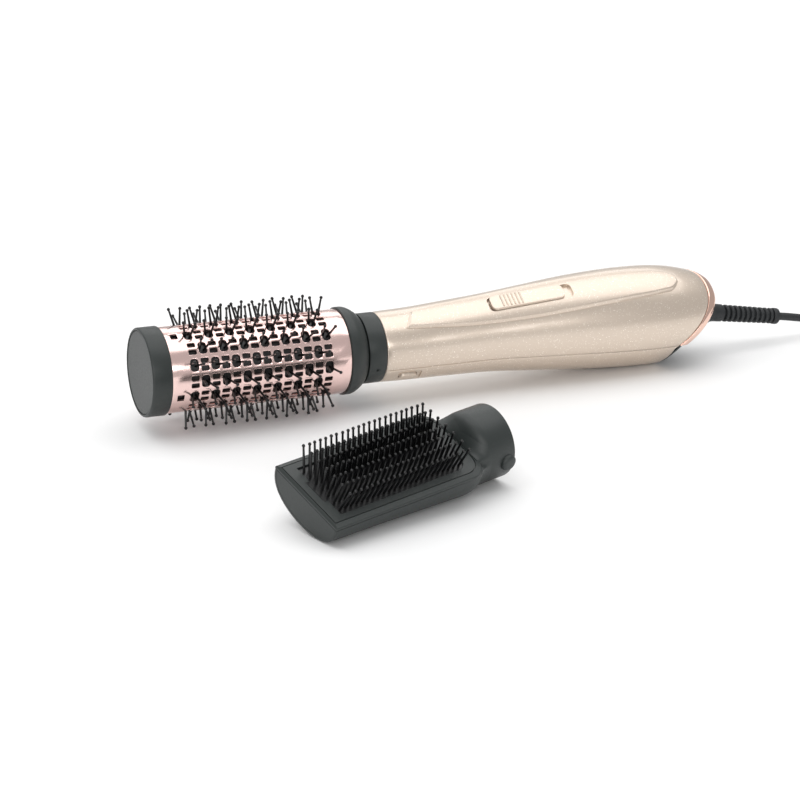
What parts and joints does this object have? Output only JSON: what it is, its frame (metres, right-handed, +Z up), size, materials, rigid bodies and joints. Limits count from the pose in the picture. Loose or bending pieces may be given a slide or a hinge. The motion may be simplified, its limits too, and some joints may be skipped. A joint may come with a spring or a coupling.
{
  "type": "hot air brush",
  "caption": "Hot air brush with a round ball-tipped barrel head on its handle, a corded supply lead, and a second flat brush head lying beside it.",
  "frame": {"origin": "on the table under the middle of the brush and the flat head, cord left out", "axes": "+X along the brush from its front cap toward the cord, +Z up"},
  "size_m": [0.648, 0.2402, 0.0717],
  "materials": {
    "champagne_paint": "metallic satin with fine glitter",
    "rose_chrome": "mirror polish",
    "rose_gold_barrel": "gloss",
    "dark_plastic": "satin",
    "bristle_nylon": "satin",
    "cord_rubber": "matt",
    "white_plastic": "satin",
    "steel": "brushed",
    "brass_pins": "polished",
    "mica": "matt",
    "board": "satin",
    "copper_wire": "polished"
  },
  "bodies": {
    "handle": {"upper_casing": "champagne_paint", "lower_casing": "champagne_paint", "top_panel": "champagne_paint", "outlet_spigot": "dark_plastic", "trim_ring": "rose_chrome", "rear_cap": "dark_plastic", "filter_mesh": "steel", "motor": "steel", "motor_mount": "white_plastic", "heater_frame": "mica", "heater_wire": "copper_wire", "heater_sleeve": "mica", "air_duct": "white_plastic", "thermal_cutout": "steel", "circuit_board": "board", "switch_body": "dark_plastic", "casing_screw_1": "steel", "casing_screw_2": "steel", "release_spring": "steel", "strain_relief": "cord_rubber", "cord_lead": "cord_rubber", "cord_coil": "cord_rubber", "cord_tail": "cord_rubber", "plug_body": "cord_rubber", "plug_pin_1": "brass_pins", "plug_pin_2": "brass_pins"},
    "round_head": {"front_cap_ring": "dark_plastic", "front_cap_disc": "dark_plastic", "barrel": "rose_gold_barrel", "bristle_strip_1": "bristle_nylon", "bristle_strip_2": "bristle_nylon", "bristle_strip_3": "bristle_nylon", "bristle_strip_4": "bristle_nylon", "bristle_strip_5": "bristle_nylon", "bristle_strip_6": "bristle_nylon", "bristle_strip_7": "bristle_nylon", "bristle_strip_8": "bristle_nylon", "rear_collar": "dark_plastic", "neck_sleeve": "dark_plastic", "air_core": "white_plastic"},
    "switch": {"power_switch": "champagne_paint"},
    "button": {"release_button": "champagne_paint"},
    "impeller": {"fan": "white_plastic"},
    "flat_head": {"flat_shell": "dark_plastic", "flat_end_cap": "dark_plastic", "flat_bezel": "dark_plastic", "flat_pad": "bristle_nylon", "flat_collar": "dark_plastic"}
  },
  "joints": [
    {"name": "switch_slide", "type": "slide", "parent": "handle", "child": "switch", "axis": [0.9965, -0.0524, 0.0647], "range_m": [0, 0.004]},
    {"name": "button_press", "type": "slide", "parent": "handle", "child": "button", "axis": [0.0175, 0.7422, 0.6699], "range_m": [0, 0.0012], "stiffness_N_per_m": 900, "springref_m": -0.0012, "deforming": ["release_spring"]},
    {"name": "round_head_pull", "type": "slide", "parent": "handle", "child": "round_head", "axis": [-0.9997, 0, 0.0262], "range_m": [0, 0.06]},
    {"name": "fan_spin", "type": "hinge", "parent": "handle", "child": "impeller", "pos_m": [0.07338, 0.08355, 0.02857], "axis": [0.9997, 0, -0.0262], "continuous": true},
    {"name": "flat_head_lift", "type": "slide", "parent": "handle", "child": "flat_head", "axis": [0, 0, 1], "range_m": [0, 0.1]}
  ]
}
